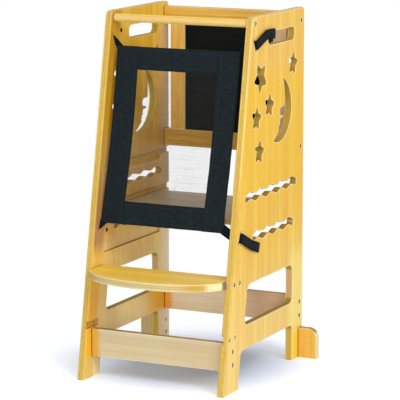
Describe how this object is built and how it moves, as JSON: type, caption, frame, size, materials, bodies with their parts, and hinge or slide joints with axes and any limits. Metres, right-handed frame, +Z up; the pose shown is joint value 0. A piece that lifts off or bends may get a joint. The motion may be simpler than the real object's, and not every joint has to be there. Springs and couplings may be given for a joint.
{
  "type": "toddler learning tower",
  "caption": "Bamboo standing tower for a toddler with sloping cut-out side panels, curved step, grooved lift-out platform, chalkboard back and strapped safety net.",
  "frame": {"origin": "on the floor, at the middle of the whole tower's width and depth", "axes": "+X to the right seen from the step side, +Y from the step side to the chalkboard side, +Z up from the floor"},
  "size_m": [0.504, 0.5218, 0.9],
  "materials": {
    "bamboo": "clear-lacquered laminated bamboo with fine grain",
    "pale_bamboo": "clear-lacquered pale laminated bamboo",
    "blackboard": "matt chalkboard surface",
    "beech": "plain fluted dowel wood",
    "net_cloth": "woven oxford cloth with stitched hems",
    "net_mesh": "open see-through mesh",
    "webbing": "ribbed woven webbing",
    "steel": "darkened steel screw heads with a hexagon"
  },
  "bodies": {
    "frame": {"side_panel_left": "bamboo", "side_panel_right": "bamboo", "hand_rail": "bamboo", "top_back_rail": "bamboo", "middle_back_rail": "bamboo", "board_stile_left": "bamboo", "board_stile_right": "bamboo", "step_board": "bamboo", "anti_tip_foot_left": "bamboo", "anti_tip_foot_right": "bamboo", "bottom_back_rail": "pale_bamboo", "bottom_front_rail": "pale_bamboo", "chalkboard": "blackboard", "board_frame_pins": "beech", "net_border": "net_cloth", "net_mesh": "net_mesh", "strap_top_left": "webbing", "strap_top_right": "webbing", "strap_bottom_left": "webbing", "strap_bottom_right": "webbing", "hand_rail_screws": "steel", "board_frame_screws": "steel", "bottom_back_screws": "steel", "bottom_front_screws": "steel", "step_screws": "steel", "foot_screws": "steel"},
    "platform": {"standing_platform": "pale_bamboo"}
  },
  "joints": [
    {"name": "platform_lift", "type": "slide", "parent": "frame", "child": "platform", "axis": [0, 0, 1], "range_m": [0, 0.0125]}
  ]
}
